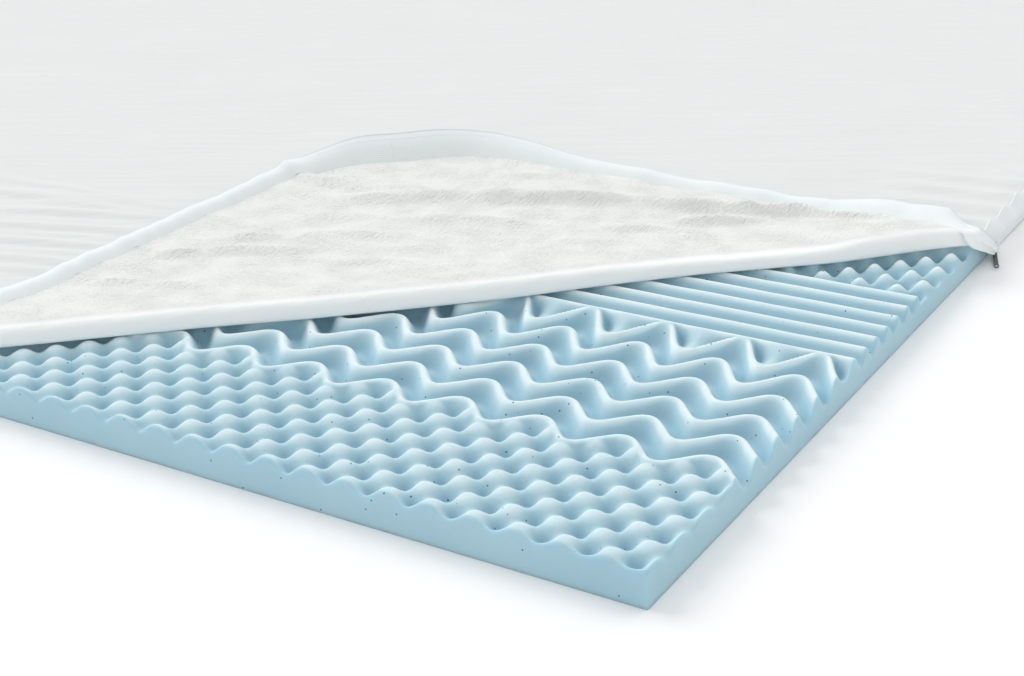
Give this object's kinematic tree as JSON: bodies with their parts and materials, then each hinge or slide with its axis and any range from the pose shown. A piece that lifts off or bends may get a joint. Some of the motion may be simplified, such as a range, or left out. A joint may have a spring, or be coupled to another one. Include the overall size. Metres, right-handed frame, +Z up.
{
  "type": "mattress topper",
  "caption": "Zoned gel-foam mattress topper in a zipped knit cover, its cover folded back at one corner to bare bumps, chevrons and ridges cut into the foam.",
  "frame": {"origin": "centre of the box's bottom, on the surface that the topper lies on", "axes": "+Y along the bed's length, away from the turned corner's near end; +X across it, towards the bare corner's side; +Z up"},
  "size_m": [1.9551, 2.0416, 0.0822],
  "materials": {
    "gel_foam": "soft matt polyurethane foam, pale blue with darker blue gel specks",
    "knit_cloth": "white weft knit with fine slanting ribs",
    "band_cloth": "cool white, plain and smooth",
    "zip_tape": "woven tape with a fine nylon coil",
    "white_metal": "white enamel",
    "black_metal": "black lacquer"
  },
  "bodies": {
    "root": {"foam_slab": "gel_foam", "cover_top_panel": "knit_cloth", "side_band_front": "band_cloth", "side_band_left": "band_cloth", "side_band_back": "band_cloth", "side_band_right": "band_cloth", "turned_band_left": "band_cloth", "turned_band_right": "band_cloth", "zip_tape_open": "zip_tape", "zip_closed": "zip_tape", "zip_slider": "white_metal", "zip_puller": "black_metal"}
  },
  "joints": []
}
